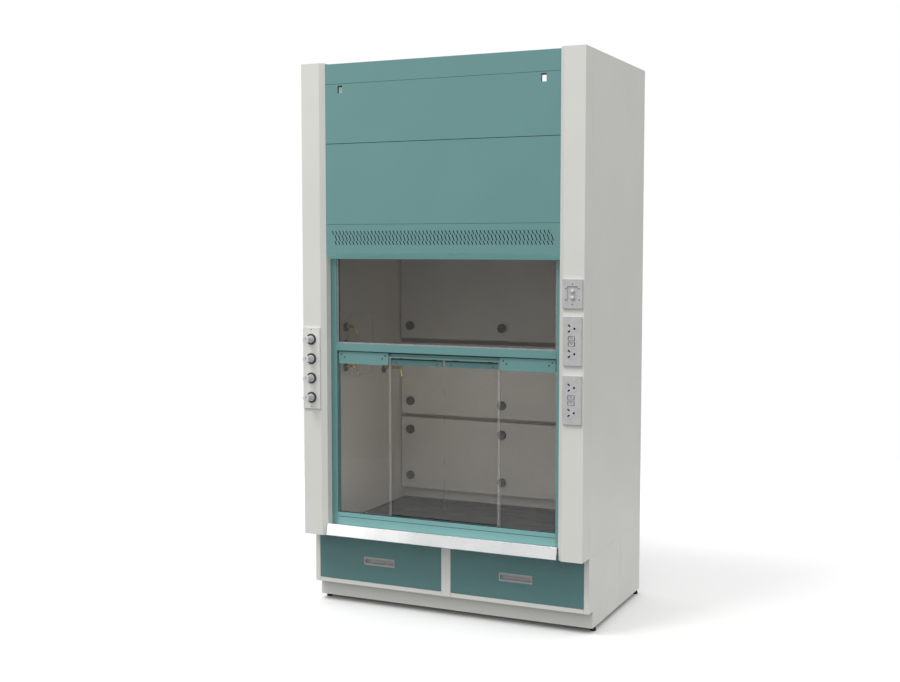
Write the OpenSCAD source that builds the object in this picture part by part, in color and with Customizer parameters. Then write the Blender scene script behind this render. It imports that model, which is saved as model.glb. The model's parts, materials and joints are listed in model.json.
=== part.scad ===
// Bench fume hood with a counterbalanced combination sash and a two-drawer base cabinet.
// +X is the user's right, +Y runs to the back, +Z is up. The floor is z = 0.
// Depths are counted backwards from the front face of the two corner posts.

/* [Overall] */
// Width over the side panels
hood_w = 1200; // [1180:5:1300]
// Height from the floor to the top of the posts
hood_h = 2210.8; // [2205:0.1:2240]
// Depth from the front of the posts to the back panel
hood_d = 762.5; // [755:0.5:800]
// Sheet thickness of the outer casing
sheet = 1.5; // [1.2:0.1:2]

/* [Corner posts] */
// Width of a post seen from the front
post_w = 82; // [82:0.5:84]
// Depth of a post's outer side
post_d = 85.6; // [85:0.1:90]
// Height of the posts' lower ends
post_base = 304.3; // [304:0.1:306]
// Sheet thickness of the posts
post_t = 2; // [1.5:0.1:2.2]
// Size of the chamfer on the inner front edge, across and back
post_bevel = [19, 16];

/* [Header] */
// Depth of the header panels' faces
header_d = 16; // [16:0.5:18]
// Top edge of the header
header_top = 2207; // [2200:1:2208]
// Joint between the top panel and the access panel
access_top = 2127; // [2120:1:2130]
// Joint between the access panel and the middle panel
access_base = 1891; // [1880:1:1900]
// Joint between the middle panel and the grille panel
grille_top = 1571; // [1565:1:1575]
// Fold where the grille panel turns back into the lip
lip_top = 1456; // [1450:1:1460]
// Lower edge of the lip
lip_base = 1433; // [1430:1:1436]
// Slots in each of the three rows
slot_count = 58; // [20:1:58]

/* [Sash] */
// Lift of the whole sash
sash_lift = 700; // [600:10:700]
// Underside of the closed sash
sash_base = 344.5; // [344:0.5:346]
// Top of the closed sash
sash_top = 1480; // [1470:1:1485]
// Visible width of a stile
stile_w = 25; // [22:1:26]
// Heights of the lower and upper edges of the middle rail
mid_rail = [1061, 1091];
// Sideways travel of each lower pane
pane_slide = 230; // [227:1:230]
// Thickness of the lower panes
pane_t = 4; // [4:0.5:5]

/* [Counterbalance] */
// Pitch radius of the belt pulleys
pulley_r = 40; // [40:0.5:40]
// Height of the cross shaft
shaft_z = 2150; // [2145:1:2155]
// Height of the lower pulleys
idler_z = 400; // [390:5:420]
// Height of a counterweight
weight_h = 600; // [500:5:620]

/* [Chamber] */
// Top of the worktop
worktop_z = 341; // [340:0.5:341]
// Depth of the baffle's front face
baffle_d = 672; // [650:1:680]
// Thickness of the chamber lining
lining = 6; // [5:0.5:6]
// Underside of the chamber ceiling
ceiling_z = 1560; // [1550:1:1560]
// Outer radius of the exhaust collar
collar_r = 125; // [100:1:125]

/* [Base cabinet] */
// Underside of the cabinet
cabinet_base = 86.9; // [86:0.1:88]
// Depth of the back of the cabinet
cabinet_back = 485; // [480:1:486]
// Width of the cabinet's side edges
edge_w = 21; // [20:0.5:22]
// Half the width of the centre stile
divider_half = 20.3; // [18:0.1:22]
// Travel of each drawer
drawer_travel = 300; // [250:10:300]
// Underside of the plinth
plinth_base = 20.3; // [20:0.1:22]
// Depth of the plinth's front
plinth_d = 130.6; // [120:0.1:140]
// Extra height that each levelling foot can screw out
foot_travel = 20; // [10:1:20]

/* [Services] */
// Distance between the service knobs
knob_pitch = 79; // [75:0.5:80]
// Reach of the service knobs in front of the posts
knob_reach = 52.5; // [50:0.5:54]
// Travel of the push-buttons
button_travel = 3; // [2:0.5:3]
// Tilt of a rocker switch either side of level
rocker_tilt = 8; // [6:1:8]

/* [Hidden] */
$fn = 64;

// Colours
teal = [0.42, 0.60, 0.59];
off_white = [0.84, 0.84, 0.81];
plate_grey = [0.70, 0.70, 0.71];
steel_grey = [0.60, 0.61, 0.62];
black = [0.07, 0.07, 0.07];
brass = [0.70, 0.58, 0.35];
glass = [0.75, 0.82, 0.80, 0.3];

// Casing
half_w = hood_w / 2;
y_front = -(hood_d - knob_reach) / 2;
opening = half_w - post_w - post_bevel[0];
skin_in = half_w - sheet;
seam = 0.6;
flange = 25;
fit = 0.05;
hinge_gap = 1.7;
hinge_d = header_d + 3;
hinge_z = access_base + 5;
hinge_r = 2;
finger_x = 431.5;

// Sash, from front to back: guide strip, sash, guide strip, jamb, lining
guide_front = [50, 52.5];
sash_d = [53, 84];
guide_rear = [84.5, 87];
jamb_d = [87, 90];
lining_d = 90;
sash_half = opening + 9;
stile_in = opening - stile_w;
wall = 2.5;
bottom_rail_top = 394;
front_glass_d = [62.5, 62.5 + pane_t];
rear_glass_d = [72.5, 72.5 + pane_t];
pane_base = 384;
pane_top = 1036.5;
upper_glass_d = [62, 67];
track_z = 1038;
roller_z = 1046.4;
roller_r = 6.8;
pane_w = pane_slide + 10;
pane_laps = [[-472, pane_w - 472], [-pane_w, -0.5], [0.5, pane_w], [472 - pane_w, 472]];

// Counterbalance, in the cavities beside the chamber
shaft_d = sash_d[0] + 57;
belt_front = shaft_d - pulley_r;
belt_back = shaft_d + pulley_r;
belt_x = [half_w - 58, half_w - 42];
belt_t = 2;
weight_x = [half_w - 76, half_w - 14];
weight_d = [belt_back + 4, belt_back + 52];
weight_top = 2060;
clamp_z = [1385, 1415];
shaft_r = 8;
idler_pin_r = 6;

// Chamber
lining_back = 712;
board_gap = 0.2;
baffle_t = 5;
baffle_half = opening - 5;
baffle_gaps = [[391, 712], [730, 1052], [1072, 1430]];
knob_cols = [-447, 0, 447];
knob_rows = [448, 658, 787, 1000, 1127];
collar_d = 560;
sill_front = -3;

// Base cabinet
drawer_gap = 0.4;
drawer_z = [105.2, 302];
bay_in = divider_half;
bay_out = half_w - edge_w;
bay_mid = (bay_in + bay_out) / 2;
bay_half = (bay_out - bay_in) / 2;
runner_z = [150, 190];
drawer_face_t = 18;
pull_size = [140.4, 34];
pull_z = 194.5;
foot_x = half_w - 13;
foot_front_d = 176;
foot_rear_d = 745;
foot_stem_r = 5;

// Services on the posts
post_mid = half_w - post_w / 2;
service_z = [825, 1155];
knob_top_z = 1108;
control_z = [1256, 1363];
control_x = [half_w - 83, half_w - 4];
power_z = [[1044, 1225], [825, 1006]];
power_x = [half_w - 80, half_w - 6];
plate_t = 8;
socket_dx = [-11.5, 9.2];
socket_dz = 47;
rocker_dz = 10.3;
rocker_size = [24.5, 14.5];
button_z = [1319, 1295];
button_r = 7.5;
spindle_r = 5;
control_mid = (control_x[0] + control_x[1]) / 2;
power_mid = (power_x[0] + power_x[1]) / 2;
rocker_x = power_mid - 2.5;
gas_d = 167;
gas_z = [1149, 1078, 982];
water_d = 508;
water_z = 944;

// A box given by its [low, high] spans across, in depth and in height
module block(x, d, z)
    translate([x[0], y_front + d[0], z[0]])
        cube([x[1] - x[0], d[1] - d[0], z[1] - z[0]]);

// A rectangular tube along one axis, made of a block less its bore
module tube_z(x, d, z, t)
    difference() {
        block(x, d, z);
        block([x[0] + t, x[1] - t], [d[0] + t, d[1] - t], [z[0] - 1, z[1] + 1]);
    }
module tube_x(x, d, z, t)
    difference() {
        block(x, d, z);
        block([x[0] - 1, x[1] + 1], [d[0] + t, d[1] - t], [z[0] + t, z[1] - t]);
    }
module tube_y(x, d, z, t)
    difference() {
        block(x, d, z);
        block([x[0] + t, x[1] - t], [d[0] - 1, d[1] + 1], [z[0] + t, z[1] - t]);
    }

// Round bars along each axis
module rod_x(x, d, z, r)
    translate([x[0], y_front + d, z]) rotate([0, 90, 0]) cylinder(h = x[1] - x[0], r = r);
module rod_y(x, d, z, r)
    translate([x, y_front + d[0], z]) rotate([-90, 0, 0]) cylinder(h = d[1] - d[0], r = r);
module rod_z(x, d, z, r)
    translate([x, y_front + d, z[0]]) cylinder(h = z[1] - z[0], r = r);

// A section drawn in [x, depth], extruded upwards, and one drawn in [depth, z], extruded across
module upright(z)
    translate([0, y_front, z[0]]) linear_extrude(z[1] - z[0]) children();
module across(x)
    translate([x[0], y_front, 0]) rotate([90, 0, 90]) linear_extrude(x[1] - x[0]) children();

module both_sides() {
    children();
    mirror([1, 0, 0]) children();
}

// A sheet pan with folded edges, open at the back
module pan(x, d, z, t)
    difference() {
        block(x, d, z);
        block([x[0] + t, x[1] - t], [d[0] + t, d[1] + 1], [z[0] + t, z[1] - t]);
    }

module rounded_plate(w, h, r)
    union() {
        square([w - 2 * r, h], center = true);
        square([w, h - 2 * r], center = true);
        for (x = [-1, 1], y = [-1, 1])
            translate([x * (w / 2 - r), y * (h / 2 - r)]) circle(r);
    }

module eight_sided(w, h, c)
    polygon([
        [c - w / 2, -h / 2], [w / 2 - c, -h / 2], [w / 2, c - h / 2], [w / 2, h / 2 - c],
        [w / 2 - c, h / 2], [c - w / 2, h / 2], [-w / 2, h / 2 - c], [-w / 2, c - h / 2]
    ]);

/* ---- Casing ---- */

module upper_skin() {
    z = [post_base, hood_h];
    block([skin_in, half_w], [post_d + seam, hood_d], z);
    block([half_w - flange, skin_in], [post_d + seam, post_d + seam + sheet], z);
    block([half_w - flange, skin_in], [hood_d - sheet, hood_d], z);
}

module rear_service_skin() {
    z = [plinth_base, post_base - seam];
    block([skin_in, half_w], [cabinet_back + seam, hood_d], z);
    block([half_w - flange, skin_in], [hood_d - sheet, hood_d], z);
}

module outer_panels() color(off_white) {
    both_sides() upper_skin();
    both_sides() rear_service_skin();
    block([-half_w + flange + 1, half_w - flange - 1], [hood_d - sheet, hood_d], [plinth_base + 5, ceiling_z]);
}

module post_section() {
    o = opening;
    f = half_w - post_w;
    polygon([
        [half_w, post_d], [half_w, 0], [f, 0], [o, post_bevel[1]], [o, guide_front[0]],
        [o + 16, guide_front[0]], [o + 16, guide_front[0] - post_t],
        [o + post_t, guide_front[0] - post_t], [o + post_t, post_bevel[1] + 0.9],
        [f + 0.7, post_t], [half_w - post_t, post_t], [half_w - post_t, post_d - post_t],
        [half_w - flange, post_d - post_t], [half_w - flange, post_d]
    ]);
}

module post_cap()
    polygon([
        [half_w, post_d], [half_w, 0], [half_w - post_w, 0], [opening, post_bevel[1]],
        [opening, guide_front[0]], [half_w - flange, guide_front[0]], [half_w - flange, post_d]
    ]);

module post_blank() {
    rod_x([opening - 4.5, opening + 1], hinge_d, hinge_z, hinge_r);
    upright([post_base, hood_h]) post_section();
    upright([post_base, post_base + post_t]) post_cap();
    upright([hood_h - post_t, hood_h]) post_cap();
}

module post_left() color(off_white)
    mirror([1, 0, 0]) difference() {
        post_blank();
        for (i = [0:3])
            rod_y(post_mid, [-1, post_t + 1], knob_top_z - i * knob_pitch, 14);
    }

module post_right() color(off_white)
    difference() {
        post_blank();
        block([control_x[0] + 14, control_x[1] - 14], [-1, post_t + 1], [control_z[0] + 20, control_z[1] - 20]);
        for (z = power_z)
            block([power_x[0] + 12, power_x[1] - 12], [-1, post_t + 1], [z[0] + 16, z[1] - 16]);
    }

/* ---- Header ---- */

module header_pan(z)
    pan([-opening + seam, opening - seam], [header_d, header_d + 13], [z[0] + seam, z[1] - seam], sheet);

// One slanted slot: its top left corner, its height and how far its foot leans to the right
module slant_slot(x, z, h, lean)
    translate([x, z]) polygon([[0, 0], [3, 0], [3 + lean, -h], [lean, -h]]);

module grille_slots() {
    pitch = (2 * opening - 78) / slot_count * 1.02;
    for (i = [0:slot_count - 1]) {
        slant_slot(-opening + 27 + i * pitch, 1545, 14.5, 6);
        slant_slot(-opening + 39 + i * pitch, 1529.5, 24, 9);
        slant_slot(-opening + 39.5 + i * pitch, 1504.5, 14.5, 6);
    }
}

module grille_panel() {
    span = [-opening + seam, opening - seam];
    translate([0, y_front + header_d + sheet, 0]) rotate([90, 0, 0]) linear_extrude(sheet)
        difference() {
            translate([span[0], lip_top]) square([span[1] - span[0], grille_top - seam - lip_top]);
            grille_slots();
        }
    across(span) polygon([
        [header_d, lip_top], [guide_front[0] - 1, lip_base], [guide_front[0] - 1, lip_base + 1.8],
        [header_d + sheet, lip_top + 0.6], [header_d + sheet, lip_top]
    ]);
    block(span, [header_d + sheet, header_d + 13], [grille_top - seam - sheet, grille_top - seam]);
}

module header_panels() color(teal) {
    header_pan([access_top, header_top]);
    header_pan([grille_top, access_base]);
    grille_panel();
}

// Hollow hinged cover with a finger hole near each upper corner; it turns on two pins near its lower edge
module header_access_panel() color(teal) {
    x = [-opening + seam, opening - seam];
    d = [header_d, header_d + 12];
    z = [access_base + hinge_gap, access_top - seam];
    difference() {
        block(x, d, z);
        block([x[0] + sheet, x[1] - sheet], [d[0] + sheet, d[1] - sheet], [z[0] + sheet, z[1] - sheet]);
        for (s = [-1, 1])
            block([s * finger_x - 10.5, s * finger_x + 10.5], [d[0] - 1, d[1] + 1],
                [access_top - 37, access_top - 7]);
        rod_x([-opening, opening], hinge_d, hinge_z, hinge_r + fit);
    }
}

// Channels behind the panel joints, and the light trap behind the grille
module header_frame() color(black) {
    x = [-opening, opening];
    rail_d = [header_d + 13, guide_front[0] - 2];
    tube_x(x, rail_d, [access_top - 9, access_top + 30], 1.5);
    tube_x(x, rail_d, [access_base - 25, access_base + 5], 1.5);
    tube_x(x, rail_d, [grille_top - 15, grille_top + 15], 1.5);
    block(x, [rail_d[0], rail_d[0] + 1.5], [1482, grille_top - 14]);
}

/* ---- Frame and chamber ---- */

module bearing_bridge() {
    difference() {
        for (x = [half_w - 68, half_w - 38])
            block([x, x + 6], [shaft_d - 18, shaft_d + 18], [shaft_z - 18, shaft_z + 50]);
        rod_x([half_w - 70, half_w - 30], shaft_d, shaft_z, shaft_r + fit);
    }
    block([half_w - 68, half_w - 27], [shaft_d - 18, shaft_d + 18], [shaft_z + 45, shaft_z + 50]);
}

module pulley_bracket() {
    for (x = [half_w - 70, half_w - 36])
        block([x, x + 6], [shaft_d - 15, shaft_d + 15], [worktop_z - 25, idler_z + 15]);
    rod_x([half_w - 66, half_w - 34], shaft_d, idler_z, idler_pin_r);
}

// Welded frame of one side: worktop bearer, uprights, foot plate, jamb, top rail and belt supports
module frame_side() {
    base = worktop_z - 25;
    outer = skin_in;
    tube_y([outer - 30, outer], [118, 695], [post_base + 0.2, base], post_t);
    tube_z([outer - 30, outer], [695, 725], [base, shaft_z + 26], post_t);
    tube_z([outer - 52, outer - 22], [695, 725], [plinth_base + 4, post_base + 0.2], post_t);
    difference() {
        block([outer - 52, outer], [695, 759], [plinth_base, plinth_base + 4]);
        rod_z(foot_x, foot_rear_d, [plinth_base - 1, plinth_base + 5], foot_stem_r + fit);
    }
    block([opening + 0.2, opening + 31], jamb_d, [base, shaft_z + 20]);
    tube_y([outer - 25, outer], [post_d + seam + sheet, 755], [shaft_z + 26, shaft_z + 56], post_t);
    bearing_bridge();
    pulley_bracket();
}

module support_frame() color(steel_grey) {
    both_sides() frame_side();
    outer = skin_in;
    for (d = [[88, 118], [695, 725]])
        tube_x([-outer, outer], d, [post_base + 0.2, worktop_z - 25], post_t);
    tube_x([30 - outer, outer - 30], [695, 725], [shaft_z - 40, shaft_z], post_t);
}

// Loose boards: two sides, back, ceiling and the access cover on the left
module lining_panels() color(off_white) {
    z = [worktop_z - 25, ceiling_z - board_gap];
    both_sides() block([opening, opening + lining], [lining_d, lining_back - board_gap], z);
    block([-opening - lining, opening + lining], [lining_back, lining_back + lining], z);
    difference() {
        block([-opening - lining, opening + lining], [lining_d, lining_back + lining], [ceiling_z, ceiling_z + lining]);
        rod_z(0, collar_d, [ceiling_z - 1, ceiling_z + lining + 1], collar_r - 1.5);
        block([-300, 300], [160, 320], [ceiling_z - 1, ceiling_z + lining + 1]);
    }
    translate([board_gap - opening, y_front + 299, 1070]) rotate([90, 0, 90]) linear_extrude(2.5 - board_gap)
        rounded_plate(208, 266, 35);
}

module stud_holes()
    for (x = knob_cols, z = knob_rows)
        rod_y(x, [baffle_d - 1, baffle_d + baffle_t + 1], z, 4.5);

module baffles() color(off_white) {
    x = [-baffle_half, baffle_half];
    d = [baffle_d, baffle_d + baffle_t];
    difference() {
        union() {
            block(x, d, baffle_gaps[0]);
            block(x, d, baffle_gaps[1]);
            across(x) polygon([
                [d[0], baffle_gaps[2][0]], [d[1], baffle_gaps[2][0]], [d[1], 1433.1],
                [430.2, ceiling_z - 3.5], [428, ceiling_z - 8], [d[0], baffle_gaps[2][1]]
            ]);
        }
        stud_holes();
    }
}

// Clamping knob, its stud and the spacer that holds the baffle off the back wall
module baffle_knobs() color(black)
    for (x = knob_cols, z = knob_rows) {
        rod_y(x, [baffle_d - 12, baffle_d], z, 19.5);
        rod_y(x, [baffle_d - 12, lining_back], z, 4);
        rod_y(x, [baffle_d + baffle_t, lining_back], z, 8);
    }

module worktop() color([0.29, 0.29, 0.29]) {
    x = opening - 0.5;
    difference() {
        block([-x, x], [lining_d, lining_back - 1], [worktop_z - 25, worktop_z]);
        block([12 - x, x - 12], [lining_d + 14, baffle_d - 4], [worktop_z - 3, worktop_z + 1]);
    }
}

// Bent sill with a slanted front, a rounded-over top and a small lower lip
module airfoil_sill() color("gainsboro")
    across([2 - opening, opening - 2]) polygon([
        [4, 304], [sill_front, 308], [9, 353], [14, 353.8], [46, 342], [lining_d, 340],
        [lining_d, 338.2], [45.6, 340.1], [13.7, 351.9], [10.4, 351.5], [-0.9, 308.9], [5, 305.6]
    ]);

module exhaust_collar() color(steel_grey)
    translate([0, y_front + collar_d, ceiling_z + lining]) difference() {
        union() {
            cylinder(h = 80, r = collar_r);
            cylinder(h = 1.5, r = collar_r + 20);
        }
        translate([0, 0, -1]) cylinder(h = 82, r = collar_r - 1.5);
    }

// Vapour-proof lamp housing over the ceiling opening, its diffuser and two tubes
module light_fitting() color("white") {
    z = ceiling_z + lining;
    difference() {
        block([-315, 315], [145, 335], [z, z + 75]);
        block([-313.5, 313.5], [146.5, 333.5], [z - 1, z + 73.5]);
    }
    block([-300, 300], [160, 320], [ceiling_z + 1, z - 1]);
    for (d = [200, 280])
        rod_x([-314, 314], d, z + 30, 8);
}

/* ---- Sash ---- */

module sash_guides() color("white")
    both_sides() {
        block([opening + 1.5, opening + 11], guide_front, [worktop_z + 5, sash_top + sash_lift + 10]);
        block([opening + 1.5, opening + 11], guide_rear, [worktop_z + 5, shaft_z + 20]);
    }

// Stile with the arm that grips the front run of the belt
module sash_stiles() color(teal)
    both_sides() {
        tube_z([stile_in, sash_half], sash_d, [sash_base, sash_top], wall);
        difference() {
            block([sash_half - 1, belt_x[1] + 5], [belt_front - 4.5, belt_front + 4.5], clamp_z);
            block([belt_x[0] - 0.7, belt_x[1] + 0.7], [belt_front - 1.5, belt_front + 1.5],
                [clamp_z[0] - 1, clamp_z[1] + 1]);
        }
    }

module sash_rails() color(teal) {
    x = [-stile_in, stile_in];
    tube_x(x, sash_d, [sash_top - 30, sash_top], wall);
    difference() {
        block(x, sash_d, [sash_base, bottom_rail_top]);
        block([x[0] - 1, x[1] + 1], [sash_d[0] + wall, sash_d[1] - wall], [sash_base + wall, 373.5]);
        for (d = [front_glass_d, rear_glass_d])
            block([x[0] - 1, x[1] + 1], [d[0] - 1, d[1] + 1], [pane_base - 1.5, bottom_rail_top + 1]);
        block([x[0] - 1, x[1] + 1], [sash_d[0] - 1, sash_d[0] + 1.5], [376, 378]);
    }
}

// Middle rail with an open front channel and a slotted rear channel for the pane rollers
module sash_track_rail() color(teal) {
    x = [-stile_in, stile_in];
    floor_z = [track_z, track_z + 1.5];
    tube_x(x, sash_d, mid_rail, wall);
    block(x, [63, 64.2], [track_z, 1044.5]);
    block(x, [63, 75.6], floor_z);
    block(x, [70.9, 72.4], [track_z, mid_rail[0] + 1]);
    block(x, [79.6, sash_d[1]], floor_z);
    block(x, [sash_d[1] - 1.5, sash_d[1]], [track_z, mid_rail[0] + 1]);
}

module sash_upper_glass() color(glass)
    block([-stile_in, stile_in], upper_glass_d, [mid_rail[1], sash_top - 30]);

module sash_gasket() color([0.58, 0.58, 0.59]) {
    d = [upper_glass_d[0] - 4, upper_glass_d[0]];
    z = [mid_rail[1], sash_top - 30];
    difference() {
        block([-stile_in, stile_in], d, z);
        block([5 - stile_in, stile_in - 5], [d[0] - 1, d[1] + 1], [z[0] + 5, z[1] - 5]);
    }
}

module hanger_screws(x, d, z, r)
    for (px = x)
        rod_y(px, d, z, r);

// Hanger of a front pane: face plate, clamping strip, four screw heads and two rollers
module front_hanger(lap) color(teal) {
    x = [lap[0] + 3, lap[1] - 10];
    block(x, [60, 62.3], [1008, 1057]);
    block(x, [66.7, 68.7], [1010, pane_top]);
    hanger_screws([x[0] + 14, x[1] - 14], [59.2, 60], 1045.5, 2.8);
    hanger_screws([x[0] + 27, x[1] - 27], [59.2, 60], 1034, 2);
    for (px = [x[0] + 40, x[1] - 40]) {
        rod_y(px, [62, 70], roller_z, 1.5);
        rod_y(px, [65, 70], roller_z, roller_r);
    }
}

// Hanger of a rear pane: face plate, two screw heads, two arms through the slot and their rollers
module rear_hanger(lap) color(teal) {
    x = [lap[0] + 4.5, lap[1] - 5.5];
    block(x, [70, 72.2], [1010, 1036]);
    hanger_screws([x[0] + 25, x[1] - 25], [69.3, 70], 1019, 2.2);
    for (px = [x[0] + 40, x[1] - 40]) {
        block([px - 10, px + 10], [70, 78.6], [1033.5, 1036]);
        block([px - 10, px + 10], [77, 78.6], [1033.5, 1049.5]);
        rod_y(px, [73, 82.1], roller_z, 1.5);
        rod_y(px, [73, 75.3], roller_z, roller_r);
        rod_y(px, [79.9, 82.1], roller_z, roller_r);
    }
}

module front_pane(lap) color(glass) block(lap, front_glass_d, [pane_base, pane_top]);
module rear_pane(lap) color(glass) block(lap, rear_glass_d, [pane_base, pane_top - 4]);

/* ---- Counterbalance ---- */

module belt_outline(r) {
    translate([shaft_d, shaft_z]) circle(r);
    translate([shaft_d, idler_z]) circle(r);
    translate([shaft_d - r, idler_z]) square([2 * r, shaft_z - idler_z]);
}

module sash_belts() color(black)
    both_sides() across(belt_x) difference() {
        belt_outline(pulley_r + belt_t / 2);
        belt_outline(pulley_r - belt_t / 2);
    }

module pulley(z) {
    x = [belt_x[0] - 1, belt_x[1] + 1];
    rod_x(x, shaft_d, z, pulley_r - belt_t / 2 - 0.3);
    for (e = [[x[0] - 1.5, x[0]], [x[1], x[1] + 1.5]])
        rod_x(e, shaft_d, z, pulley_r + 3);
}

module cross_shaft() color("silver") {
    rod_x([28 - half_w, half_w - 28], shaft_d, shaft_z, shaft_r);
    both_sides() pulley(shaft_z);
}

module lower_pulleys() color("silver")
    both_sides() difference() {
        pulley(idler_z);
        rod_x([half_w - 70, half_w - 30], shaft_d, idler_z, idler_pin_r + fit);
    }

module counterweights() color([0.35, 0.36, 0.38])
    both_sides() {
        block(weight_x, weight_d, [weight_top - weight_h, weight_top]);
        difference() {
            block([belt_x[0] - 5, belt_x[1] + 5], [belt_back - 4.5, weight_d[0] + 1], [weight_top - 30, weight_top]);
            block([belt_x[0] - 0.7, belt_x[1] + 0.7], [belt_back - 1.5, belt_back + 1.5],
                [weight_top - 31, weight_top + 1]);
        }
    }

/* ---- Services ---- */

module service_plate() color(off_white)
    difference() {
        block([2 - half_w, 80 - half_w], [-6, 0], service_z);
        for (i = [0:3])
            rod_y(-post_mid, [-7, 1], knob_top_z - i * knob_pitch, spindle_r + 0.5);
    }

// Knob with a chamfered nose, a base flange, a pointer groove and its spindle
module service_knob(i) color("silver") {
    z = knob_top_z - i * knob_pitch;
    difference() {
        union() {
            rod_y(-post_mid, [-knob_reach + 1, -11], z, 13.5);
            translate([-post_mid, y_front - knob_reach, z]) rotate([-90, 0, 0]) cylinder(h = 1, r1 = 12.5, r2 = 13.5);
            rod_y(-post_mid, [-12.4, -9.4], z, 15);
            rod_y(-post_mid, [-12, 30], z, spindle_r);
        }
        block([-post_mid - 0.8, -post_mid + 0.8], [-knob_reach - 1, -knob_reach + 1], [z, z + 15]);
    }
}

// Domed rose on the chamber's left wall
module wall_rose(x, d, z)
    translate([x, y_front + d, z]) rotate([0, 90, 0]) rotate_extrude()
        polygon([[0, 0], [19, 0], [19, 2], [17.5, 4.5], [11, 9], [9, 10], [0, 10]]);

// Black roses behind the four knobs and behind the four outlets on the chamber wall
module escutcheons() color(black) {
    for (i = [0:3])
        difference() {
            rod_y(-post_mid, [-9, -6], knob_top_z - i * knob_pitch, 22.5);
            rod_y(-post_mid, [-10, -5], knob_top_z - i * knob_pitch, spindle_r + 0.5);
        }
    for (z = gas_z)
        wall_rose(2.5 - opening, gas_d, z);
    wall_rose(-opening, water_d, water_z);
}

module gas_nozzle(z) {
    x = 12.5 - opening;
    rod_x([x, x + 31], gas_d, z + 4, 6.6);
    translate([x + 30, y_front + gas_d, z + 4]) sphere(8.1);
    translate([x + 30, y_front + gas_d, z + 4]) rotate([0, 145, 0]) cylinder(h = 42, r1 = 4.8, r2 = 3.5);
}

// Valve bodies in the left post, gas nozzles and the water spout
module service_fittings() color(brass) {
    for (i = [0:3])
        difference() {
            union() {
                rod_y(-post_mid, [0.5, 12], knob_top_z - i * knob_pitch, 12);
                rod_y(-post_mid, [8, 50], knob_top_z - i * knob_pitch, 16);
            }
            rod_y(-post_mid, [-1, 32], knob_top_z - i * knob_pitch, spindle_r + fit);
        }
    for (z = gas_z)
        gas_nozzle(z);
    x = 10 - opening;
    rod_x([x, x + 70], water_d, water_z + 8, 6);
    translate([x + 70, y_front + water_d, water_z]) rotate([90, 0, 0]) rotate_extrude(angle = 90)
        translate([8, 0]) circle(6);
    rod_z(x + 78, water_d, [water_z - 30, water_z], 5);
}

// Cover plate with a bevelled right edge
module cover_plate(x, z)
    upright(z) polygon([[x[0], 0], [x[0], -plate_t], [x[1] - 2, -plate_t], [x[1], -5], [x[1], 0]]);

module button_bore(z) rod_y(control_mid, [-plate_t - 1, 17 + button_travel], z, button_r + 0.1);

module control_plate()
    difference() {
        union() {
            cover_plate(control_x, control_z);
            block([control_mid - 20, control_mid + 20], [-1, 30], [1285, 1335]);
        }
        block([control_mid - 21, control_mid + 21], [-plate_t - 1, 4 - plate_t], [1281, 1338]);
        for (z = button_z)
            button_bore(z);
    }

// One three-pin outlet: two slanted slots and a round earth hole
module socket_holes(z) {
    for (s = [-1, 1])
        translate([power_mid + socket_dx[0], y_front + 2, z + s * 10.7]) rotate([90, s * 38, 0])
            linear_extrude(plate_t + 3) rounded_plate(9.5, 4, 1.8);
    rod_y(power_mid + socket_dx[1], [-plate_t - 1, 2], z, 3.6);
}

// Fine eight-sided groove around an outlet
module outlet_outline(z)
    translate([power_mid, y_front - plate_t + 0.4, z]) rotate([90, 0, 0]) linear_extrude(1)
        difference() {
            eight_sided(42, 41, 12);
            eight_sided(40.4, 39.4, 11.5);
        }

module power_plate(z) {
    mid = (z[0] + z[1]) / 2;
    difference() {
        union() {
            cover_plate(power_x, z);
            block([power_mid - 24, power_mid + 24], [-1, 40], [z[0] + 18, z[1] - 18]);
        }
        for (s = [-1, 1]) {
            socket_holes(mid + s * socket_dz);
            outlet_outline(mid + s * socket_dz);
            block([rocker_x - rocker_size[0] / 2 - 0.4, rocker_x + rocker_size[0] / 2 + 0.4], [-plate_t - 1, 6],
                [mid + s * rocker_dz - rocker_size[1] / 2 - 0.4, mid + s * rocker_dz + rocker_size[1] / 2 + 0.4]);
        }
    }
}

module outlet_plates() color(plate_grey) {
    control_plate();
    for (z = power_z)
        power_plate(z);
}

// Domed button whose stem slides in the plate's bore
module push_button(z) color("silver") {
    translate([control_mid, y_front - 14, z]) rotate([-90, 0, 0]) rotate_extrude()
        polygon([for (a = [0:15:90]) [button_r * sin(a), 4 * (1 - cos(a))], [button_r, 15], [0, 15]]);
}

// Rocker drawn in the off position, tilted about its upright pivot
module rocker(z, s) color(plate_grey) {
    mid = (z[0] + z[1]) / 2 + s * rocker_dz;
    w = rocker_size[0] / 2 - 1;
    h = rocker_size[1];
    translate([rocker_x, y_front - 2, mid - h / 2]) rotate([0, 0, -rocker_tilt]) linear_extrude(h)
        polygon([[-w, -6], [0, -4.6], [w, -6], [w, -0.5], [0, 3], [-w, -0.5]]);
}

module small_screw(x, d, z) rod_y(x, [d - 0.8, d], z, 2.4);

module plate_screws() color("dimgray") {
    for (z = [service_z[0] + 8, service_z[1] - 8])
        small_screw(-post_mid, -6, z);
    for (z = [control_z[0] + 15, control_z[1] - 17])
        small_screw(control_mid, -plate_t, z);
    for (s = [-1, 1], z = [1287.5, 1329])
        small_screw(control_mid + s * 26, -plate_t, z);
}

/* ---- Base cabinet ---- */

// Folded upright with its closed edge to the front
module edge_pan(x, t)
    upright([cabinet_base, post_base - seam]) polygon([
        [x[0], cabinet_back], [x[0], post_d], [x[1], post_d], [x[1], cabinet_back],
        [x[1] - t, cabinet_back], [x[1] - t, post_d + t], [x[0] + t, post_d + t], [x[0] + t, cabinet_back]
    ]);

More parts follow.
